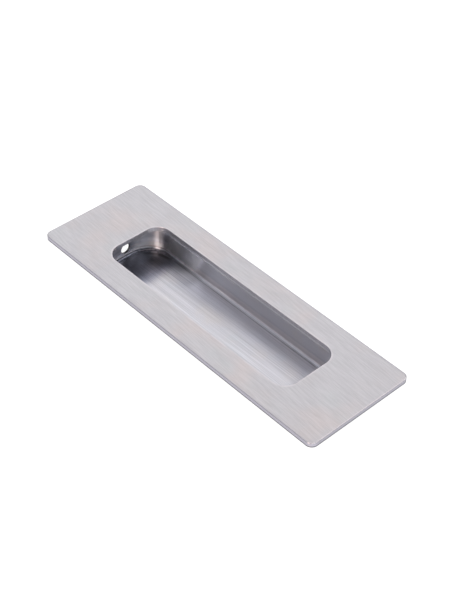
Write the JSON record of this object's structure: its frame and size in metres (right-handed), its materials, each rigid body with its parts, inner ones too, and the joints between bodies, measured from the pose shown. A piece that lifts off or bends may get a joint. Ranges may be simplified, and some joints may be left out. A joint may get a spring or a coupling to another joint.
{
  "type": "recessed pull handle",
  "caption": "Flush recessed pull handle for a sliding door: a flat brushed steel plate with a rounded opening over a drawn cup with screw holes in its end walls.",
  "frame": {"origin": "centre of the plate's back face, in the plane that lies on the door", "axes": "+X along the handle, +Y across it, +Z out of the door towards the user; the cup reaches into the door along -Z"},
  "size_m": [0.15, 0.05, 0.0138],
  "materials": {
    "plate_steel": "fine brushed along the plate",
    "cup_steel": "satin, lightly brushed floor"
  },
  "bodies": {
    "root": {"face_plate": "plate_steel", "recess_cup": "cup_steel"}
  },
  "joints": []
}
